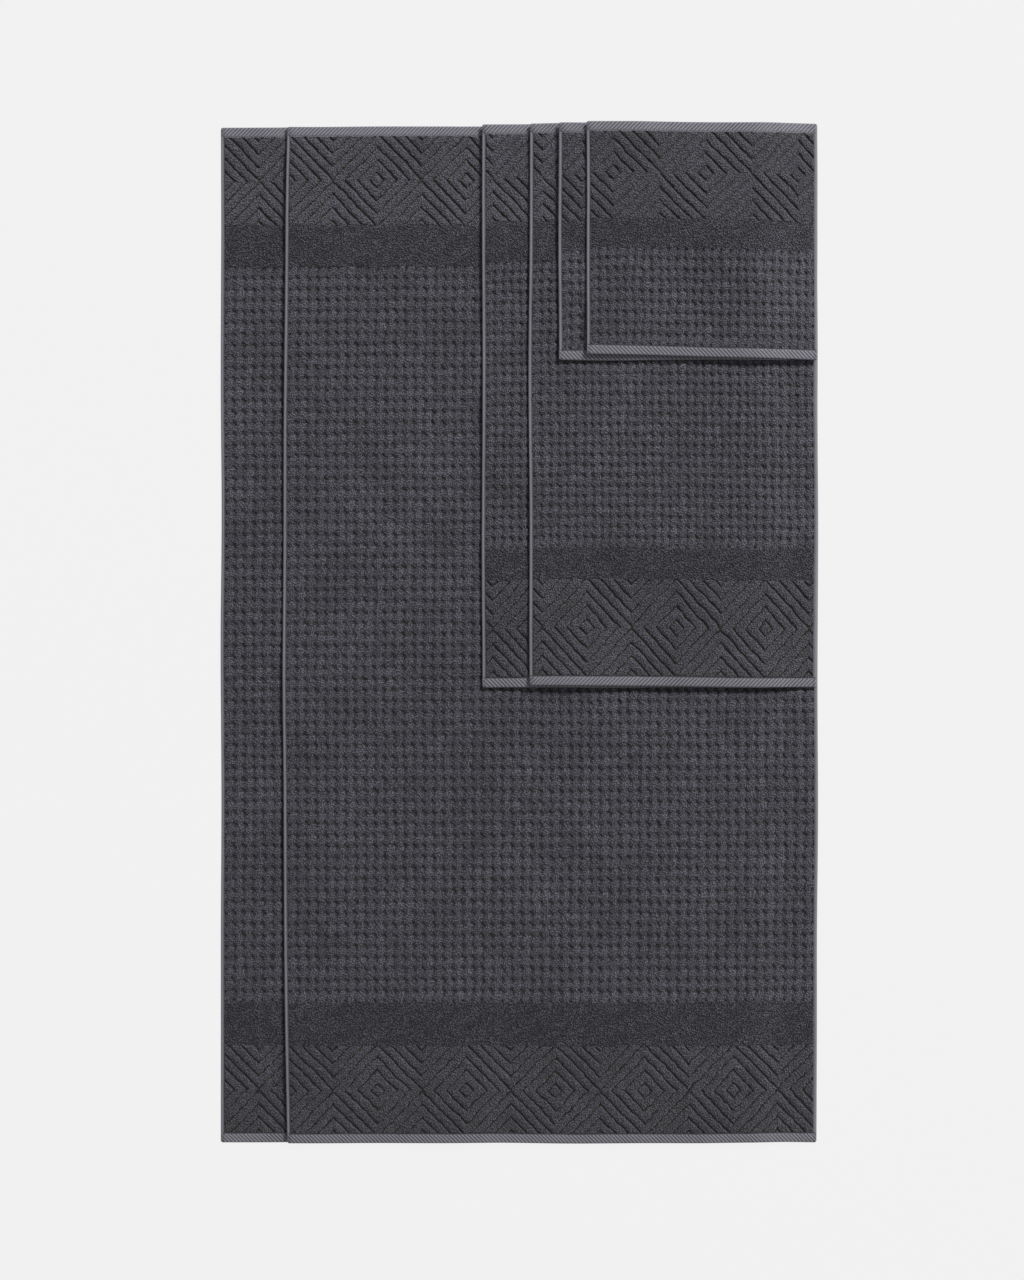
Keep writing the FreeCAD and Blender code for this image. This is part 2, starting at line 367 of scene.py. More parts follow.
@dataclass(frozen=True)
class SewingThread:
    """Spun polyester thread: smoother than the cloth, so each stitch has a soft glint.

    Its twisted plies, about 0.6 mm apart, show as fine bands.
    """

    name: str = "spun_thread"
    crown: str = "6E6D75"
    root: str = "4A494F"
    ply: float = 0.6 * MM
    relief: float = 0.1 * MM

    def build(self, tree: Tree) -> dict[str, object]:
        """The plies' light and shade.

        Args:
            tree: the material's tree.

        Returns:
            The shader's colour and normal.
        """
        place = add_node(tree, "TexCoord").outputs["Object"]
        twist = {"Vector": place, "Scale": WAVE / self.ply}
        plies = add_node(tree, "TexWave", {"bands_direction": "DIAGONAL"}, twist).outputs["Fac"]
        blend = {"Factor": plies, DARK: linear(self.root), LIGHT: linear(self.crown)}
        colour = add_node(tree, "Mix", COLOURS, blend).outputs[BLEND]
        raised = {"Strength": 0.5, "Distance": self.relief, "Height": plies}
        return {"Base Color": colour, "Normal": add_node(tree, "Bump", inputs=raised)}

    def material(self) -> bpy.types.Material:
        """Builds the thread."""
        return make_material(self.name, self.build, {"Roughness": 0.55, "Specular IOR Level": 0.4})


@dataclass(frozen=True)
class BacklitSweep:
    """Opal acrylic sheet lit from behind: plain even white that takes a faint shadow."""

    name: str = "backlit_sweep"
    glow: str = "EEEEEE"
    face: str = "30302F"

    def material(self) -> bpy.types.Material:
        """Builds the opal sheet: mostly its own even glow, with a little of the light above."""
        even = {"Base Color": linear(self.face), "Roughness": 1.0, "Specular IOR Level": 0.0}
        glow = {"Emission Color": linear(self.glow), "Emission Strength": 1.0}
        return make_material(self.name, lambda tree: glow, even)


class Finishes:
    """The materials of the set, built once and shared."""

    def __init__(self) -> None:
        """Builds every finish."""
        bare = TerryPile("plain_terry", crown="5F5D68", root="16151A", speckle=0.95, clump=7.0 * MM)
        self.field = BlockTerry("block_terry", crown="6D6B77", root="111014").material()
        self.border = DiamondTerry("diamond_terry", crown="65636E", root="0E0D10").material()
        self.band = bare.material()
        self.end_hem = FlatWeave("twill_hem", crown="9A98A1", root="2A2930").material()
        self.side_hem = FlatWeave("turned_hem", crown="8A8990", root="504F57").material()
        self.thread = SewingThread().material()
        self.sweep = BacklitSweep().material()


# ---------------------------------------------------------------- meshes


def smoothstep(value: Array) -> Array:
    """Eases a value from 0 to 1.

    Args:
        value: the values, held to 0 and 1 where they lie outside.

    Returns:
        The eased values.
    """
    held = np.clip(value, 0.0, 1.0)
    return held * held * (3.0 - 2.0 * held)


def soft_noise(x: Array, y: Array, wavelength: float, seed: int) -> Array:
    """Smooth noise over the cloth, from a few crossed waves.

    Args:
        x: places across.
        y: places along.
        wavelength: about how far apart two crests are.
        seed: picks the waves.

    Returns:
        The noise at each place, mostly from -1 to 1.
    """
    rng = np.random.default_rng(seed)
    total = np.zeros_like(x)
    waves = 7
    for _ in range(waves):
        turn, start = rng.uniform(0, 2 * math.pi, 2)
        count = 2 * math.pi / (wavelength * rng.uniform(0.7, 1.6))
        total += np.sin(count * (x * math.cos(turn) + y * math.sin(turn)) + start)
    return total / math.sqrt(waves)


def spline_shares(along: Array) -> list[Array]:
    """The shares of four neighbours in a smooth curve.

    Args:
        along: how far each place is from the second neighbour to the third, 0 to 1.

    Returns:
        Each neighbour's share.
    """
    return [
        (1 - along) ** 3 / 6,
        (3 * along**3 - 6 * along**2 + 4) / 6,
        (1 + 3 * along + 3 * along**2 - 3 * along**3) / 6,
        along**3 / 6,
    ]


def grid_faces(rows: int, columns: int) -> Faces:
    """The quads of a grid whose rows run up and whose columns run to the right.

    Args:
        rows: how many rows of vertices.
        columns: how many vertices in a row.

    Returns:
        The faces, which point up.
    """
    corner = np.arange(rows * columns).reshape(rows, columns)
    quads = np.stack([corner[:-1, :-1], corner[:-1, 1:], corner[1:, 1:], corner[1:, :-1]], -1)
    return [tuple(quad) for quad in quads.reshape(-1, 4).tolist()]


def open_edges(faces: Faces) -> list[tuple[int, int]]:
    """The edges that only one face uses.

    Args:
        faces: the faces of a surface.

    Returns:
        The edges, each in its face's own direction.
    """
    edges = {(face[n - 1], face[n]) for face in faces for n in range(len(face))}
    return [(a, b) for a, b in edges if (b, a) not in edges]


def add_map(mesh: bpy.types.Mesh, name: str, places: Array) -> None:
    """Adds a UV map to a mesh.

    Args:
        mesh: the mesh.
        name: the map's name.
        places: where each vertex lies on the map.
    """
    vertex = np.empty(len(mesh.loops), dtype=np.int32)
    mesh.loops.foreach_get("vertex_index", vertex)
    layer = mesh.uv_layers.new(name=name)
    layer.data.foreach_set("uv", places[vertex].astype(np.float32).ravel())


def add_values(mesh: bpy.types.Mesh, name: str, values: Array) -> None:
    """Stores a number at each vertex of a mesh, for its finish.

    Args:
        mesh: the mesh.
        name: the attribute's name.
        values: a number for each vertex.
    """
    layer = mesh.attributes.new(name, "FLOAT", "POINT")
    layer.data.foreach_set("value", values.astype(np.float32))


@dataclass
class Sheet:
    """A cloth surface in the flat: places, relief off the middle, tone with painted light and shade, and
    faces.

    A border also has each place's distance to the nearest groove.
    """

    x: Array
    y: Array
    relief: Array
    tone_and_shade: Array
    faces: Faces
    groove: Array | None = None

    def welded(self) -> "Sheet":
        """Joins vertices that lie at one place, and drops the faces that this closes up.

        Returns:
            The same surface with no doubles.
        """
        fine = 1e-7
        keys = np.round(np.stack([self.x, self.y], 1) / fine).astype(np.int64)
        _, first, where = np.unique(keys, axis=0, return_index=True, return_inverse=True)
        where = where.ravel()
        kept = []
        for face in self.faces:
            ring = [where[v] for v in face]
            ring = [v for n, v in enumerate(ring) if v != ring[n - 1]]
            if len(set(ring)) >= 3:
                kept.append(tuple(int(v) for v in ring))
        groove = None if self.groove is None else self.groove[first]
        return Sheet(self.x[first], self.y[first], self.relief[first], self.tone_and_shade[first], kept, groove)


# ---------------------------------------------------------------- the stack


@dataclass
class Settling:
    """How a laid towel stands off what it lies on, found by letting a coarse cloth settle."""

    left: float
    bottom: float
    right: float
    top: float
    seed: int
    spacing: float = 24 * MM
    rest: float = 2 * MM  # how high the cloth starts above the table
    slack: float = 3.5 * MM
    slack_wave: float = 260 * MM
    limit: float = 1.7 * MM  # no place is lifted by more than this
    fade: float = 40 * MM  # the lift dies away over this, past the outline
    steps: int = 24
    heights: Array = field(init=False)

    def __post_init__(self) -> None:
        columns = round((self.right - self.left) / self.spacing) + 1
        rows = round((self.top - self.bottom) / self.spacing) + 1
        self.heights = np.zeros((rows, columns))
        raised = self.simulate()
        self.heights = self.limit * np.tanh((raised - raised.min()) / self.limit)

    def add_mesh(self, name: str, places: list[list[float]], faces: Faces) -> bpy.types.Object:
        """Adds an object to the scene for the length of the simulation.

        Args:
            name: the object's name.
            places: its vertices.
            faces: its faces.

        Returns:
            The object.
        """
        mesh = bpy.data.meshes.new(name)
        mesh.from_pydata(places, [], faces)
        made = bpy.data.objects.new(name, mesh)
        bpy.context.scene.collection.objects.link(made)
        return made

    def simulate(self) -> Array:
        """Drops a slack cloth on a table and lets it settle.

        Returns:
            The heights of the settled cloth, in rows.
        """
        rows, columns = self.heights.shape
        across = np.linspace(self.left, self.right, columns)
        x, y = np.meshgrid(across, np.linspace(self.bottom, self.top, rows))
        ripple = soft_noise(x, y, self.slack_wave, self.seed)
        z = self.rest + np.maximum(ripple + 0.3, 0) * self.slack
        places = np.stack([x, y, z], -1).reshape(-1, 3)
        cloth = self.add_mesh("settling", places.tolist(), grid_faces(rows, columns))
        half = 3.0
        square = [[-half, -half, 0.0], [half, -half, 0.0], [half, half, 0.0], [-half, half, 0.0]]
        table = self.add_mesh("table", square, [(0, 1, 2, 3)])
        table.modifiers.new("Collision", "COLLISION")
        table.collision.thickness_outer = 1 * MM
        table.collision.cloth_friction = 60.0
        modifier = cloth.modifiers.new("Cloth", "CLOTH")
        settings = modifier.settings
        settings.quality = 6
        settings.mass = 0.3
        settings.bending_stiffness = 10.0
        settings.air_damping = 3.0
        settings.shrink_min = -0.001
        settings.effector_weights.gravity = 0.03
        modifier.collision_settings.distance_min = 1 * MM
        scene = bpy.context.scene
        for step in range(1, self.steps + 1):
            scene.frame_set(step)
        settled = cloth.evaluated_get(bpy.context.evaluated_depsgraph_get())
        result = settled.to_mesh()
        out = np.empty(len(result.vertices) * 3, dtype=np.float32)
        result.vertices.foreach_get("co", out)
        settled.to_mesh_clear()
        for made in (cloth, table):
            bpy.data.objects.remove(made)
        scene.frame_set(1)
        return out.reshape(rows, columns, 3)[..., 2].astype(float)

    def rise(self, x: Array, y: Array) -> Array:
        """The height at each place, eased away past the towel's outline.

        Args:
            x: places across.
            y: places along.

        Returns:
            The height at each place.
        """
        rows, columns = self.heights.shape
        u = np.clip((x - self.left) / (self.right - self.left), 0, 1) * (columns - 1)
        v = np.clip((y - self.bottom) / (self.top - self.bottom), 0, 1) * (rows - 1)
        cell_u, cell_v = np.floor(u).astype(int), np.floor(v).astype(int)
        total = np.zeros_like(u)
        for down, share_v in enumerate(spline_shares(v - cell_v)):
            row = np.clip(cell_v + down - 1, 0, rows - 1)
            for over, share_u in enumerate(spline_shares(u - cell_u)):
                column = np.clip(cell_u + over - 1, 0, columns - 1)
                total += share_u * share_v * self.heights[row, column]
        past_x = np.maximum(self.left - x, x - self.right)
        past_y = np.maximum(self.bottom - y, y - self.top)
        return total * (1 - smoothstep(np.maximum(past_x, past_y) / self.fade))


@dataclass
class Stack:
    """How the towels lie on each other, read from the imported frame."""

    clearance: float = 1.0 * MM  # from the edge below to where the cloth starts down
    ease: float = 55 * MM  # how far the cloth takes to come down over an edge
    height: float = field(init=False)
    folds: list[tuple[float, float]] = field(init=False)
    settled: list[Settling] = field(default_factory=list)

    def __post_init__(self) -> None:
        """Reads the cloth's height and the places where upper towels step down."""
        low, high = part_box("lower_bath_field")
        self.height = float(high[2] - low[2])
        starts = [
            float(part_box(f"lower_{size.value}_side_hem_right")[1][0]) + self.clearance for size in Size
        ]
        self.folds = [(start, start + self.ease) for start in starts]


# ---------------------------------------------------------------- how a towel is woven


@dataclass(frozen=True)
class Blocks:
    """The field's blocks: mesh lines in shares of a block, heights and places in metres."""

    lines_across: tuple[float, ...] = (0.0, 0.12, 0.36, 0.64, 0.88)
    lines_along: tuple[float, ...] = (0.0, 0.12, 0.5, 0.88)
    fall_across: float = 0.3  # how far a block falls off towards its sides
    fall_along: float = 0.45
    twist: float = 0.35  # two opposite corners of a block stand higher
    pit_reach: float = 2.4 * MM
    pit_fade: float = 2.8 * MM
    pit_width: float = 1.4 * MM
    pit_depths: tuple[float, float] = (0.35, 1.25)  # least and most, from pit to pit
    fullness: tuple[float, float] = (0.7, 1.15)  # least and most, from block to block
    lean_across: tuple[float, float] = (0.1, 0.2)  # mean and spread
    lean_along: tuple[float, float] = (0.2, 0.2)
    most: float = 1.08  # no crown stands higher than this share of the depth
    jitter: float = 0.35 * MM
    wobble: float = 0.7 * MM
    floor: float = 0.2 * MM
    depth: float = 2.15 * MM
    shade: float = 0.4  # painted shade: the tone in a line, and below, the painted light that a crown adds to it
    light: float = 0.5

    def pits(self, x: Array, y: Array) -> Array:
        """The slanting pits where four blocks meet.

        Args:
            x: places across, from the nearest block corner.
            y: places along, from the nearest block corner.

        Returns:
            The pit's depth at each place, 0 to 1.
        """
        long, wide = np.abs(x - y) / math.sqrt(2), (x + y) / math.sqrt(2)
        ends = 1 - smoothstep((long - self.pit_reach) / self.pit_fade)
        return ends * np.exp(-((wide / self.pit_width) ** 2))

    def puff(self, u: Array, v: Array, cut: Array) -> Array:
        """How high the blocks stand.

        Args:
            u: places across, in shares of a block.
            v: places along, in shares of a block.
            cut: the depth of the pits.

        Returns:
            The height at each place, about 1 on a crown and 0 in a pit.
        """
        across, along = 2 * u - 1, 2 * v - 1
        out = self.fall_across * np.abs(across) ** 3 + self.fall_along * np.abs(along) ** 3
        return 1 - out - 0.8 * cut + self.twist * np.maximum(across * along * (1 - out), 0)


@dataclass(frozen=True)
class Lattice:
    """The grooves of a border, in shares of a diamond's half height, or in metres."""

    first_groove: float = 0.16
    pitch: float = 0.285
    grooves: int = 7
    lines: tuple[float, ...] = (0.0, 0.07, 0.17, 0.5, 0.83, 0.93)
    wall: float = 0.125  # a groove's wall climbs over this share of the pitch
    shoulder: float = 0.86  # how high a ridge stands at its sides, where its middle is 1
    edge: float = 1.2 * MM
    floor: float = 0.4 * MM
    depth: float = 1.65 * MM
    shallow: float = 5 * MM  # a leaning groove's painted shade line is drawn as thin as if it were this much further off
    bare: float = 9 * MM  # and a centre with no groove as if it were this far off
    crossing: int = 3  # the groove that would cross the next diamond's, and fades out instead
    fade_from: float = 3.0 * MM  # it is gone within this of the crossing
    fade_over: float = 5.0 * MM  # and whole this much further off
    unevenness: tuple[float, float] = (0.06, 0.05)  # of the ridges' height, coarse and fine
    tone_gain: float = 1.35  # the painted shade in a groove deepens faster than the ridge's height falls
    tone_loss: float = 0.35
    edge_pile: float = 0.6

    def levels(self) -> Array:
        """Where the mesh's lines lie, from a diamond's centre out."""
        number = np.arange(-1, self.grooves + 1)[:, None]
        levels = (self.first_groove + self.pitch * (number + np.array(self.lines))).ravel()
        return np.unique(np.r_[0.0, levels[(levels > 0) & (levels < 2.2)]])

    def height(self, off: Array, x: Array, y: Array, groove: Array, half_width: float) -> Array:
        """How high the lattice's ridges stand, from 0 in a groove to 1 on a crown.

        Args:
            off: how far the place is from the nearest groove, as a share of the pitch.
            x: places across, from a diamond's centre.
            y: places along, from the diamonds' own line.
            groove: the nearest groove's number, from the diamond's centre.
            half_width: half of the diamond's width.

        Returns:
            The height at each place.
        """
        crown = self.shoulder + (1 - self.shoulder) * np.sin(math.pi * np.clip(off, 0, 0.5))
        height = smoothstep(off / self.wall) * crown
        turn = np.round((x - half_width) / (2 * half_width))
        away = np.hypot(x - half_width - turn * 2 * half_width, y)
        fade = 0.8 * (1 - smoothstep((away - self.fade_from) / self.fade_over))
        return np.where(groove == self.crossing, np.maximum(height, fade), height)


@dataclass(frozen=True)
class Weave:
    """How a size of towel is woven.

    A border's numbers are half a diamond's height, and how far down the border its centre is.
    """

    cell: tuple[float, float]
    period: float
    borders: dict[str, tuple[float, float]]
    twill: float
    lean: float = 0.7  # how deep the rising grooves of a top border stay, where the pile leans


@dataclass
class Towel:
    """One towel: where it lies, how it is woven, and the pieces that show it."""

    name: str
    body: str
    weave: Weave
    stack: Stack
    finishes: Finishes
    steps: int
    seed: int
    border_shift: float = 0.0
    low_slant: Slant = Slant.FALLING
    bulge: tuple[float, float] = (0.0, 0.0)
    corners: dict[str, tuple[float, float]] = field(default_factory=dict)
    hem_rest: float = 1.0 * MM  # the outline lies this much lower than the rest
    corner_radius: float = 3.0 * MM
    blocks: Blocks = Blocks()
    lattice: Lattice = Lattice()
    pieces: dict[str, bpy.types.Object] = field(default_factory=dict)

    def __post_init__(self) -> None:
        """Reads the towel's outline and level from the frame."""
        low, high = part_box(f"{self.name}_end_hem_top")
        self.left, self.right, self.top = float(low[0]), float(high[0]), float(high[1])
        self.bottom = float(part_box(f"{self.name}_end_hem_bottom")[0][1])
        self.level = float(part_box(f"{self.name}_side_hem_left")[0][2])
        self.rng = np.random.default_rng(self.seed)

    def inside(self, x: Array, y: Array) -> Array:
        """How far places are from the outline.

        Args:
            x: places across, in the flat.
            y: places along, in the flat.

        Returns:
            The distance to the nearest edge.
        """
        from_side = np.minimum(x - self.left, self.right - x)
        return np.minimum(from_side, np.minimum(y - self.bottom, self.top - y))

    def middle(self, x: Array, y: Array) -> Array:
        """The height of the cloth's middle.

        Args:
            x: places across, in the flat.
            y: places along, in the flat.

        Returns:
            The height at each place.
        """
        ease = 18 * MM
        height = np.full_like(x, self.level + self.stack.height / 2)
        for start, end in self.stack.folds[: self.steps]:
            height -= self.stack.height * smoothstep((x - start) / (end - start))
        for settled in self.stack.settled:
            height += settled.rise(x, y)
        return height - self.hem_rest * (1 - smoothstep(self.inside(x, y) / ease))

    def laid(self, x: Array, y: Array) -> tuple[Array, Array]:
        """Where places in the flat end up: pulled wide, a little wavy, and soft at the corners.

        Args:
            x: places across, in the flat.
            y: places along, in the flat.

        Returns:
            The places across and along as laid.
        """
        across = (x - self.left) / (self.right - self.left)
        along = (y - self.bottom) / (self.top - self.bottom)
        arch = np.sin(math.pi * np.clip(along, 0, 1)) ** 0.8
        out_x = x + arch * (self.bulge[1] * across - self.bulge[0] * (1 - across))
        out_y = y.copy()
        for corner, (move_x, move_y) in self.corners.items():
            share_x = across if "right" in corner else 1 - across
            share = share_x * (along if "top" in corner else 1 - along)
            out_x += share * move_x
            out_y += share * move_y
        edge_wave, firm, ease = 0.5 * MM, 9 * MM, 14 * MM
        out_x += soft_noise(np.zeros_like(y), y, 300 * MM, self.seed + 3) * edge_wave
        out_y += soft_noise(x, np.zeros_like(x), 220 * MM, self.seed + 4) * edge_wave
        loose = smoothstep((self.inside(x, y) - firm) / ease)
        for wavelength, size, seed in ((45 * MM, 0.6 * MM, 20), (11 * MM, 0.5 * MM, 30)):
            out_x += loose * size * soft_noise(x, y, wavelength, self.seed + seed)
            out_y += loose * size * soft_noise(x, y, wavelength, self.seed + seed + 1)
        for edge_x, turn_x in ((self.left, 1), (self.right, -1)):
            for edge_y, turn_y in ((self.bottom, 1), (self.top, -1)):
                in_x = self.corner_radius - (x - edge_x) * turn_x
                in_y = self.corner_radius - (y - edge_y) * turn_y
                reach = np.maximum(np.hypot(in_x, in_y), 1e-9)
                near = (in_x > 0) & (in_y > 0)
                pull = np.where(near, 1 - np.maximum(in_x, in_y) / reach, 0)
                out_x = out_x + pull * in_x * turn_x
                out_y = out_y + pull * in_y * turn_y
        return out_x, out_y

    def zone(self, name: str) -> tuple[float, float, float, float]:
        """The plan of one zone.

        Args:
            name: the zone's name.

        Returns:
            Its left, bottom, right and top.
        """
        low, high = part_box(f"{self.name}_{name}")
        return float(low[0]), float(low[1]), float(high[0]), float(high[1])

    def zones(self, word: str) -> list[str]:
        """The names of this towel's zones that start with a word.

        Args:
            word: the word.

        Returns:
            The names, in order.
        """
        prefix = self.name + "_"
        names = [n[len(prefix) :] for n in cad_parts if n.startswith(prefix)]
        return sorted(n for n in names if n.startswith(word))

    def add_piece(
        self, zone: str, verts: Array, faces: Faces, flat: Array, tone_and_shade: Array, material: bpy.types.Material
    ) -> None:
        """Makes one piece, with its cloth map and its tone with painted light and shade, and joins it to the
        frame.

        Args:
            zone: the zone's name, as in the CAD node.
            verts: the vertices as laid.
            faces: the faces, pointing out.
            flat: each vertex's place in the flat, for the cloth map.
            tone_and_shade: each vertex's tone, with painted light and shade on its relief.
            material: the finish.
        """
        node = f"{self.name}_{zone}"
        mesh = bpy.data.meshes.new(f"{node}_cloth")
        mesh.from_pydata(verts.tolist(), [], faces)
        mesh.shade_smooth()
        mesh.set_sharp_from_angle(angle=CREASE)
        add_map(mesh, "cloth", flat)
        add_values(mesh, "tone_and_shade", tone_and_shade)
        mesh.materials.append(material)
        piece = bpy.data.objects.new(f"{node}_piece", mesh)
        bpy.context.scene.collection.objects.link(piece)
        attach(piece, self.body)
        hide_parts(node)
        self.pieces[zone] = piece
        LOG.info("%s: %d faces", piece.name, len(faces))

    def add_shell(self, zone: str, sheet: Sheet, material: bpy.types.Material) -> None:
        """Makes a piece of cloth with the sheet's relief on its top and its underside.

        Args:
            zone: the zone's name.
            sheet: the surface in the flat.
            material: the finish.
        """
        x, y = self.laid(sheet.x, sheet.y)
        middle = self.middle(sheet.x, sheet.y)
        top = np.stack([x, y, middle + sheet.relief], 1)
        under = np.stack([x, y, middle - UNDERSIDE * sheet.relief], 1)
        count = len(x)
        below = [tuple(v + count for v in reversed(face)) for face in sheet.faces]
        walls = [(b, a, a + count, b + count) for a, b in open_edges(sheet.faces)]
        verts = np.concatenate([top, under])
        flat = np.tile(np.stack([sheet.x, sheet.y], 1), (2, 1))
        self.add_piece(zone, verts, sheet.faces + below + walls, flat, np.tile(sheet.tone_and_shade, 2), material)
        if sheet.groove is not None:
            add_values(self.pieces[zone].data, "groove", np.tile(sheet.groove, 2))

    def add_block_shell(
        self, x: Array, y: Array, relief: Array, tone_and_shade: Array, keep_u: list[int], keep_v: list[int]
    ) -> None:
        """Makes the field from a fine grid on top and only some of its lines on the underside.

        Args:
            x: places across, in rows.
            y: places along, in rows.
            relief: height off the cloth's middle.
            tone_and_shade: tone, with painted light and shade on the relief.
            keep_u: the columns that the underside keeps, with the first and last.
            keep_v: the rows that it keeps, with the first and last.
        """
        rows, columns = x.shape
        laid_x, laid_y = self.laid(x, y)
        middle = self.middle(x, y)
        top = np.stack([laid_x, laid_y, middle + relief], -1).reshape(-1, 3)
        few = np.ix_(keep_v, keep_u)
        under = np.stack([laid_x[few], laid_y[few], middle[few] - UNDERSIDE * relief[few]], -1)
        first, height, width = rows * columns, len(keep_v), len(keep_u)
        faces = grid_faces(rows, columns)
        faces += [tuple(v + first for v in reversed(face)) for face in grid_faces(height, width)]
        above = np.arange(first).reshape(rows, columns)
        below = first + np.arange(height * width).reshape(height, width)
        sides = (
            (below[0], above[0], keep_u, False),
            (below[-1], above[-1], keep_u, True),
            (below[:, 0], above[:, 0], keep_v, True),
            (below[:, -1], above[:, -1], keep_v, False),
        )
        for low, high, keep, turned in sides:
            for n in range(len(keep) - 1):
                ring = [*low[n : n + 2].tolist(), *high[keep[n] : keep[n + 1] + 1][::-1].tolist()]
                faces.append(tuple(reversed(ring)) if turned else tuple(ring))
        flat = np.stack([x, y], -1)
        verts = np.concatenate([top, under.reshape(-1, 3)])
        flat = np.concatenate([flat.reshape(-1, 2), flat[few].reshape(-1, 2)])
        tone_and_shade = np.concatenate([tone_and_shade.ravel(), tone_and_shade[few].ravel()])
        self.add_piece("field", verts, faces, flat, tone_and_shade, self.finishes.field)

    def make_field(self) -> None:
        """The field: rows of puffy blocks of terry with narrow sunk lines between them."""
        left, bottom, right, top = self.zone("field")
        blocks, rng, edge_pile = self.blocks, self.rng, 0.5
        columns = round((right - left) / self.weave.cell[0])
        rows = round((top - bottom) / self.weave.cell[1])
        wide, tall = (right - left) / columns, (top - bottom) / rows
        u = np.append((np.arange(columns)[:, None] + np.array(blocks.lines_across)).ravel(), columns)
        v = np.append((np.arange(rows)[:, None] + np.array(blocks.lines_along)).ravel(), rows)
        grid_u, grid_v = np.meshgrid(u, v)
        cell_u = np.minimum(grid_u.astype(int), columns - 1)
        cell_v = np.minimum(grid_v.astype(int), rows - 1)
        in_u, in_v = grid_u - cell_u, grid_v - cell_v
        corner_u, corner_v = np.round(grid_u).astype(int), np.round(grid_v).astype(int)
        cut = rng.uniform(*blocks.pit_depths, (rows + 1, columns + 1))[corner_v, corner_u]
        cut = cut * blocks.pits((grid_u - corner_u) * wide, (grid_v - corner_v) * tall)
        full = rng.uniform(*blocks.fullness, (rows, columns))[cell_v, cell_u]
        lean_u = rng.normal(*blocks.lean_across, (rows, columns))[cell_v, cell_u]
        lean_v = rng.normal(*blocks.lean_along, (rows, columns))[cell_v, cell_u]
        full = full * (1 + lean_u * (in_u - 0.5) + lean_v * (in_v - 0.5))
        puff = blocks.puff(in_u, in_v, cut) * full
        x, y = left + grid_u * wide, bottom + grid_v * tall
        inner = (grid_u > 0) & (grid_u < columns) & (grid_v > 0) & (grid_v < rows)
        jitter = rng.normal(0, blocks.jitter, (2, *x.shape)) * inner
        wobble = soft_noise(x, y, 50 * MM, self.seed) * blocks.wobble * inner
        depth = blocks.depth * (0.9 + 0.1 * soft_noise(x, y, 120 * MM, self.seed + 1))
        relief = blocks.floor + depth * np.clip(puff, 0, blocks.most)
        relief = np.where(inner, relief, np.maximum(relief, EDGE))
        x, y = x + jitter[0] + wobble, y + jitter[1]
        # Painted light and shade: crowns are painted lighter, lines and pits darker.
        tone_and_shade = np.clip(blocks.shade + blocks.light * puff - cut, 0, 1)
        tone_and_shade = np.where(inner, tone_and_shade, np.maximum(tone_and_shade, edge_pile))
        seams_u = np.flatnonzero(np.mod(u, 1) == 0).tolist()
        keep_u = sorted(seams_u + [index + 2 for index in seams_u[:-1]])
        keep_v = np.flatnonzero(np.mod(v, 0.5) == 0).tolist()
        self.add_block_shell(x, y, relief, tone_and_shade, keep_u, keep_v)
        block = np.stack([grid_u, grid_v], -1)
        below = block[np.ix_(keep_v, keep_u)]
        places = np.concatenate([block.reshape(-1, 2), below.reshape(-1, 2)])
        add_map(self.pieces["field"].data, "block", places)

    def make_band(self, zone: str) -> None:
        """A plain band: short, even terry between a border and the field.

        Args:
            zone: the zone's name.
        """
        left, bottom, right, top = self.zone(zone)
        edge, step = 1.5 * MM, 3.2 * MM
        rough, swell, stands = 0.25 * MM, 0.15 * MM, 0.1 * MM
        tone, patches, grain = 0.62, 0.12, 0.16
        columns = np.linspace(left + edge, right - edge, round((right - left) / step))
        rows = np.linspace(bottom + edge, top - edge, round((top - bottom) / step))
        x, y = np.meshgrid(np.r_[left, columns, right], np.r_[bottom, rows, top])
        inner = np.zeros_like(x)
        inner[1:-1, 1:-1] = 1
        height = self.rng.normal(0, rough, x.shape) + soft_noise(x, y, 30 * MM, self.seed + 5) * swell
        relief = EDGE + inner * (stands + height)
        mottle = soft_noise(x, y, 20 * MM, self.seed + 6) * patches + self.rng.normal(0, grain, x.shape)
        tone_and_shade = np.clip(tone + mottle, 0, 1)
        sheet = Sheet(x.ravel(), y.ravel(), relief.ravel(), tone_and_shade.ravel(), grid_faces(*x.shape))
        self.add_shell(zone, sheet, self.finishes.band)

    def make_border(self, zone: str) -> None:
        """A border with a sculpted diamond lattice, meshed along its own grooves.

        The lattice repeats every period across, and is measured by how far a place is from the
        nearest diamond's centre, as a share of the diamond: grooves lie at even steps of it.

        Args:
            zone: the zone's name.
        """
        lattice = self.lattice
        left, bottom, right, top = self.zone(zone)
        half_width = self.weave.period / 2
        half_height, centre_share = self.weave.borders[zone]
        centre_y = top - (top - bottom) * centre_share
        centre_x = (self.left + self.right) / 2 + self.border_shift
        edge, levels = lattice.edge, lattice.levels()
        low_y, high_y = bottom + edge - centre_y, top - edge - centre_y

        crossings = np.r_[levels, levels - high_y / half_height, levels + low_y / half_height, 0, 1]
        folded = np.unique(np.round(crossings[(crossings >= 0) & (crossings <= 1)], 6))
        closest, turns = 0.008, np.arange(-8, 9)
        folded = folded[np.r_[True, np.diff(folded) > closest]]
        columns = np.concatenate([[2 * t + folded, 2 * t - folded] for t in turns]).ravel()
        columns = np.unique(np.round(columns * half_width + centre_x, 7))
        clear = 1.4 * edge
        spaced = (columns > left + clear) & (columns < right - clear)
        columns = np.r_[left, left + edge, columns[spaced], right - edge, right]
        held = np.clip(columns, left + edge, right - edge) - centre_x
        fold = np.abs(held / half_width - 2 * np.round(held / self.weave.period))

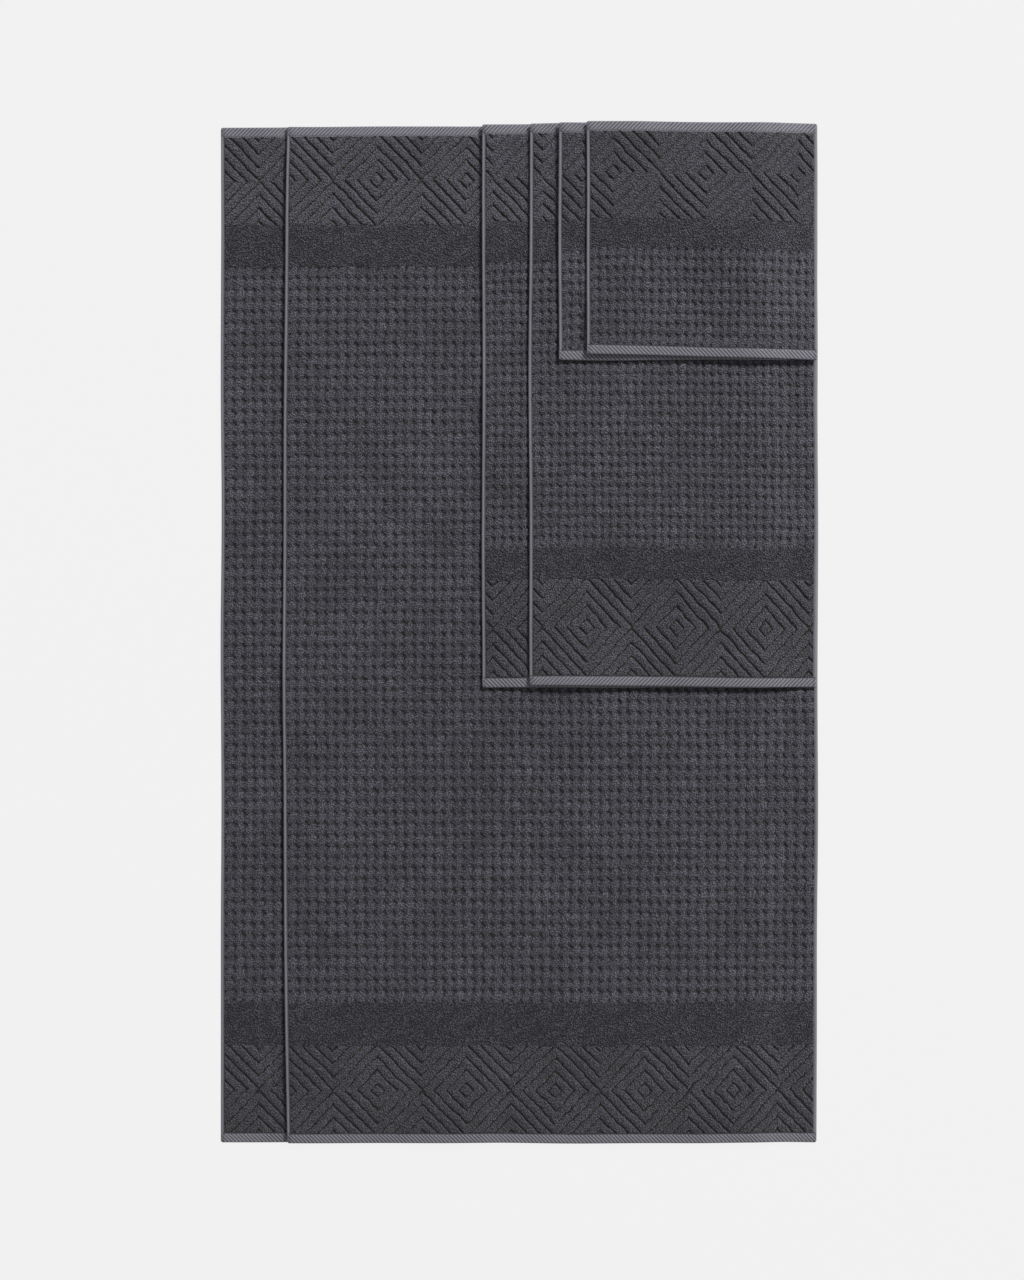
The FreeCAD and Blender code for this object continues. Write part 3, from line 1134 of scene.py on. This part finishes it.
        reach = half_height * (levels[:, None] - fold[None, :])
        ends = [np.full((1, len(columns)), end - centre_y) for end in (bottom, top)]
        y = np.concatenate([ends[0], np.clip(-reach[::-1], low_y, 0), np.clip(reach, 0, high_y), ends[1]])
        x = np.broadcast_to(columns, y.shape)

        step = (fold[None, :] + np.abs(y) / half_height - lattice.first_groove) / lattice.pitch
        off = np.abs(step - np.round(step))
        height = lattice.height(off, x - centre_x, y, np.round(step), half_width)
        from_centre = x - centre_x - self.weave.period * np.round((x - centre_x) / self.weave.period)
        leaning = (from_centre * y < 0) & (zone != "diamond_border_bottom")
        height = np.where(leaning, 1 - self.weave.lean * (1 - height), height)
        inner = (x > left + edge / 2) & (x < right - edge / 2)
        inner &= (y > low_y - edge / 2) & (y < high_y + edge / 2)
        coarse, fine = soft_noise(x, y, 35 * MM, self.seed + 7), soft_noise(x, y, 10 * MM, self.seed + 8)
        uneven = coarse * lattice.unevenness[0] + fine * lattice.unevenness[1]
        rise = np.clip(height + uneven, 0.02, None)
        relief = np.where(inner, lattice.floor + lattice.depth * rise, EDGE)
        # Painted light and shade: the top borders are painted lighter than the rest, as their leaning pile
        # catches more light, and grooves darker than ridges.
        full = 1.0 if zone == "diamond_border_top" else 0.81
        tone = full * np.clip(lattice.tone_gain * rise - lattice.tone_loss, 0, 1)
        tone_and_shade = np.where(inner, tone, lattice.edge_pile)
        groove = off * lattice.pitch / math.hypot(1 / half_width, 1 / half_height)
        groove = groove + leaning * (1 - self.weave.lean) * lattice.shallow
        groove = np.where(np.round(step) < 0, lattice.bare, groove)
        y = y + centre_y
        sheet = Sheet(x.ravel(), y.ravel(), relief.ravel(), tone_and_shade.ravel(), grid_faces(*y.shape))
        sheet.groove = groove.ravel()
        self.add_shell(zone, sheet.welded(), self.finishes.border)

    def make_end_hem(self, zone: str) -> None:
        """A flat end hem of twill, whose ribs run slantwise over it.

        Args:
            zone: the zone's name.
        """
        left, bottom, right, top = self.zone(zone)
        at_top = top > self.top - MM
        length, flat = top - bottom, 1.3  # heights in mm, and the flat height between the folds
        ribs_above, rib_height, rib_light_shade, least = 1.1, 0.5, 1.4, 0.25 * MM
        slant = (Slant.RISING if at_top else self.low_slant).value
        from_edge = np.array([0.0, 0.45, 1.2, 2.6, 5.0, 8.0, 10.6, 11.9, 12.6]) * MM
        profile = np.array([0.3, 0.85, 1.2, flat, flat, flat, 1.25, 0.95, 0.75, EDGE / MM])
        from_edge = np.r_[from_edge * (length - 0.6 * MM) / from_edge[-1], length]
        y_rows = top - from_edge if at_top else bottom + from_edge
        order = np.argsort(y_rows)
        y_rows, profile = y_rows[order], profile[order]
        lines_per_rib, twill = 4, self.weave.twill
        ribs = math.ceil((right - left) / twill) + 8
        rib = np.arange(-4 * lines_per_rib, ribs * lines_per_rib) / lines_per_rib
        x = left + rib[None, :] * twill + slant * (y_rows[:, None] - bottom)
        inner = (x > left) & (x < right)
        x = np.clip(x, left, right)
        y = np.broadcast_to(y_rows[:, None], x.shape)
        rounding = np.clip(0.3 + np.minimum(x - left, right - x) / (1.6 * MM), 0, 1)
        ridge = np.cos(2 * math.pi * (np.mod(rib, 1.0) - 0.5)) * 0.5 + 0.5
        body = np.minimum(profile[:, None], flat * rounding)
        ribbed = np.where(inner & (body > ribs_above), ridge[None, :] - 0.5, 0.0)
        seam = self.seam_dip(x, left, right)
        relief = np.maximum((body + rib_height * ribbed) * MM - seam, least)
        # Painted light and shade: rib tops are painted lighter, furrows and the seams' dips darker.
        tone_and_shade = np.clip(0.5 + rib_light_shade * ribbed - seam / MM, 0, 1)
        sheet = Sheet(x.ravel(), y.ravel(), relief.ravel(), tone_and_shade.ravel(), grid_faces(*x.shape))
        self.add_shell(zone, sheet.welded(), self.finishes.end_hem)

    def seam_dip(self, x: Array, left: float, right: float) -> Array:
        """How far the side seams pull the end hem in.

        Args:
            x: places across.
            left: the hem's left end.
            right: the hem's right end.

        Returns:
            The dip at each place.
        """
        seam_at, half, depth = 3.6 * MM, 1.2 * MM, 0.45 * MM  # from the side, across, and down
        away = np.minimum(np.abs(x - left - seam_at), np.abs(right - seam_at - x))
        return depth * (1 - smoothstep(away / half))

    def make_side_hem(self, side: Side) -> None:
        """A side hem: the selvedge turned under and sewn down, a narrow round-edged strip.

        Args:
            side: which side of the towel.
        """
        zone = f"side_hem_{side.value}"
        left, bottom, right, top = self.zone(zone)
        from_edge = np.array([0.0, 0.07, 0.2, 0.4, 0.58, 0.74, 1.0]) * (right - left)
        profile = np.array([0.3, 0.85, 1.25, 1.38, 1.3, 1.05, EDGE / MM])
        # Painted light and shade across the hem: lighter on its rounded top, darker down its flanks, darkest
        # in the crease by the field; its lighter overall colour is the flat weave's own.
        tone = np.array([0.3, 0.6, 0.9, 0.9, 0.7, 0.2, 0.0])
        x_lines = left + from_edge if side is Side.LEFT else right - from_edge
        order = np.argsort(x_lines)
        x_lines, profile, tone = x_lines[order], profile[order], tone[order]
        rows = round((top - bottom) / (6 * MM))
        x, y = np.meshgrid(x_lines, np.linspace(bottom, top, rows + 1))
        swell = 1 + 0.06 * soft_noise(x * 0, y, 60 * MM, self.seed + 11)
        relief = profile[None, :] * MM * np.where(profile[None, :] > 1, swell, 1)
        tone_and_shade = np.broadcast_to(tone, y.shape)
        sheet = Sheet(x.ravel(), y.ravel(), relief.ravel(), tone_and_shade.ravel(), grid_faces(*x.shape))
        self.add_shell(zone, sheet, self.finishes.side_hem)

    def seams(self, pitch: float) -> list[tuple[Array, Array, float, float]]:
        """Where the stitches lie: along both side hems and across both end hems.

        Args:
            pitch: how far apart two stitches are.

        Returns:
            For each seam, its stitches' places across and along, and its direction.
        """
        inset, clear = 1.4 * MM, 4 * MM
        side_width = self.zone("side_hem_left")[2] - self.left
        seam = side_width - inset
        _, low, _, high = self.zone("end_hem_top")
        end = high - low - inset
        runs = []
        for x in (self.left + seam, self.right - seam):
            count = round((self.top - self.bottom - 2 * clear) / pitch)
            y = np.linspace(self.bottom + clear, self.top - clear, count)
            runs.append((np.full(count, x), y, 0.0, 1.0))
        for y in (self.bottom + end, self.top - end):
            count = round((self.right - self.left - 2 * side_width) / pitch)
            x = np.linspace(self.left + side_width, self.right - side_width, count)
            runs.append((x, np.full(count, y), 1.0, 0.0))
        return runs

    def make_stitching(self) -> None:
        """The seams' lockstitches: each a short four-sided float of thread with tapered ends."""
        pitch, length, radius, stands = 3.4 * MM, 2.5 * MM, 0.42 * MM, 1.12 * MM
        ring_at = np.array([-0.5, -0.28, 0.28, 0.5]) * length
        ring_size = np.array([0.25, 1.0, 1.0, 0.25]) * radius
        verts, flat, faces = [], [], []
        for xs, ys, along_x, along_y in self.seams(pitch):
            for x, y, z in zip(xs, ys, self.middle(xs, ys) + stands):
                start = len(verts)
                for at, size in zip(ring_at, ring_size):
                    for turn_across, turn_up in ((1, 0), (0, 1), (-1, 0), (0, -1)):
                        px = x + at * along_x + size * turn_across * along_y
                        py = y + at * along_y - size * turn_across * along_x
                        verts.append((px, py, z + size * turn_up * 0.8))
                        flat.append((px, py))
                for ring in range(3):
                    for n in range(4):
                        a, b = start + ring * 4 + n, start + ring * 4 + (n + 1) % 4
                        faces.append((a, a + 4, b + 4, b))
                faces.append(tuple(start + n for n in range(4)))
                faces.append(tuple(start + 12 + n for n in (3, 2, 1, 0)))
        places = np.array(verts)
        places[:, 0], places[:, 1] = self.laid(places[:, 0], places[:, 1])
        tone_and_shade = np.ones(len(verts))
        self.add_piece("stitching", places, faces, np.array(flat), tone_and_shade, self.finishes.thread)

    def make(self) -> None:
        """Lets the towel settle on the ones below, then builds every piece of it."""
        outline = (self.left, self.bottom, self.right, self.top)
        self.stack.settled.append(Settling(*outline, seed=self.seed))
        self.make_field()
        for zone in self.zones("plain_band"):
            self.make_band(zone)
        for zone in self.zones("diamond_border"):
            self.make_border(zone)
        for zone in self.zones("end_hem"):
            self.make_end_hem(zone)
        for side in Side:
            self.make_side_hem(side)
        self.make_stitching()

    def declare(self, rests_on: list[str]) -> None:
        """Reads the plan of each of this towel's pieces except the side hems and stitching, and keeps
        nothing.

        Args:
            rests_on: names of what is under this towel; not used.
        """
        trims = [self.pieces[zone] for zone in ("side_hem_left", "side_hem_right", "stitching")]
        for zone, piece in self.pieces.items():
            if piece in trims:
                continue
            left, bottom, right, top = self.zone(zone)


# ---------------------------------------------------------------- studio


@dataclass
class Studio:
    """The plain studio: backlit sweep, one soft key from the upper right, fill and camera."""

    finishes: Finishes
    floor_size: float = 12.0
    key_size: float = 3.0
    key_watts: float = 1480.0
    key_at: tuple[float, float, float] = (6.2, 7.2, 5.5)
    key_aim: tuple[float, float, float] = (0.1, 0.0, 0.0)
    fill: float = 0.32  # the sky's strength on the towels
    backdrop: float = 0.87  # and as the camera sees it, past the sweep's edge
    view_height: float = 1.7297
    camera_height: float = 3.0
    sensor_mm: float = 36.0
    off_centre: tuple[float, float] = (-0.0088, -0.0078)

    def make_floor(self) -> None:
        """A wide backlit sheet under the stack."""
        bpy.ops.object.select_all(action="DESELECT")
        bpy.ops.mesh.primitive_plane_add(size=self.floor_size, location=(0, 0, 0))
        floor = bpy.context.object
        floor.name = "sweep"
        floor.data.materials.append(self.finishes.sweep)

    def make_light(self) -> None:
        """The key from the upper right, and an even sky for the fill."""
        lamp = bpy.data.lights.new("key_light", "AREA")
        lamp.shape = "DISK"
        lamp.size = self.key_size
        lamp.energy = self.key_watts
        key = bpy.data.objects.new("key_light", lamp)
        bpy.context.scene.collection.objects.link(key)
        key.location = self.key_at
        x, y, z = np.array(self.key_aim) - np.array(self.key_at)
        key.rotation_euler = (math.atan2(math.hypot(x, y), -z), 0, math.atan2(y, x) - math.pi / 2)
        world = bpy.data.worlds.new("studio_sky")
        world.use_nodes = True
        tree = world.node_tree
        tree.nodes.clear()
        seen = add_node(tree, "LightPath").outputs["Is Camera Ray"]
        choice = {"Value": seen, "To Min": self.fill, "To Max": self.backdrop}
        strength = add_node(tree, "MapRange", inputs=choice)
        sky = add_node(tree, "Background", inputs={"Color": linear("FFFFFF"), "Strength": strength})
        add_node(tree, "OutputWorld", inputs={"Surface": sky})
        bpy.context.scene.world = world

    def make_camera(self) -> None:
        """A long lens straight above, with the far end of the towels at the top."""
        data = bpy.data.cameras.new("camera")
        data.sensor_fit = "VERTICAL"
        data.sensor_height = self.sensor_mm
        data.lens = self.sensor_mm * self.camera_height / self.view_height
        data.clip_end = 50.0
        camera = bpy.data.objects.new("camera", data)
        camera.location = (*self.off_centre, self.camera_height)
        bpy.context.scene.collection.objects.link(camera)
        bpy.context.scene.camera = camera

    def make(self) -> None:
        """Sets up floor, light, camera and a plain view transform."""
        self.make_floor()
        self.make_light()
        self.make_camera()
        settings = bpy.context.scene.view_settings
        settings.view_transform = "Standard"
        settings.look = "None"


# ---------------------------------------------------------------- the set


def towel_set(stack: Stack, finishes: Finishes) -> list[Towel]:
    """The six towels, from the bottom of the stack up.

    Args:
        stack: how they lie.
        finishes: the materials.

    Returns:
        The towels, not yet built.
    """
    top, bottom = "diamond_border_top", "diamond_border_bottom"
    bath_borders = {top: (61.5 * MM, 0.5), bottom: (61.5 * MM, 0.51)}
    hand_borders = {top: (61.5 * MM, 0.5), bottom: (65.5 * MM, 0.5)}
    wash_borders = {"diamond_border": (63.5 * MM, 0.473)}
    bath = Weave((13.1 * MM, 15.0 * MM), 119.5 * MM, bath_borders, twill=5.2 * MM, lean=0.92)
    hand = Weave((11.4 * MM, 13.9 * MM), 119.5 * MM, hand_borders, twill=5.5 * MM)
    wash = Weave((11.7 * MM, 13.9 * MM), 124.0 * MM, wash_borders, twill=5.5 * MM)
    drawn_in = {"top_left": (0.0, -1.6 * MM), "top_right": (0.0, -1.6 * MM)}
    hand_lift, wash_lift = {"bottom_left": (0.0, 3.0 * MM)}, {"bottom_left": (0.0, 7.0 * MM)}
    towel = partial(Towel, stack=stack, finishes=finishes)
    lower_bath = towel("lower_bath", "lower_bath_towel", bath, steps=0, seed=11, border_shift=-6.8 * MM)
    lower_bath.bulge, lower_bath.corners = (0.0, 2.0 * MM), drawn_in
    upper_bath = towel("upper_bath", "upper_bath_towel", bath, steps=1, seed=22, border_shift=4.7 * MM)
    upper_bath.bulge, upper_bath.corners = (5.5 * MM, 2.6 * MM), drawn_in
    lower_hand = towel("lower_hand", "lower_hand_towel", hand, steps=1, seed=33)
    upper_hand = towel("upper_hand", "upper_hand_towel", hand, steps=2, seed=44, border_shift=3.0 * MM)
    upper_hand.bulge, upper_hand.corners = (1.0 * MM, 1.0 * MM), hand_lift
    upper_hand.low_slant = Slant.RISING
    lower_wash = towel("lower_wash", "lower_washcloth", wash, steps=2, seed=55)
    upper_wash = towel("upper_wash", "upper_washcloth", wash, steps=3, seed=66, border_shift=3.8 * MM)
    upper_wash.corners = wash_lift
    return [lower_bath, upper_bath, lower_hand, upper_hand, lower_wash, upper_wash]


def main() -> None:
    """Builds the towels in the order of the stack, then the studio."""
    logging.basicConfig(level=logging.INFO, format="%(name)s %(message)s")
    finishes = Finishes()
    stack = Stack()
    below = "sweep"
    for towel in towel_set(stack, finishes):
        towel.make()
        towel.declare([below])
        below = f"{towel.name}_field"
    Studio(finishes).make()


if __name__ == "__main__":
    main()
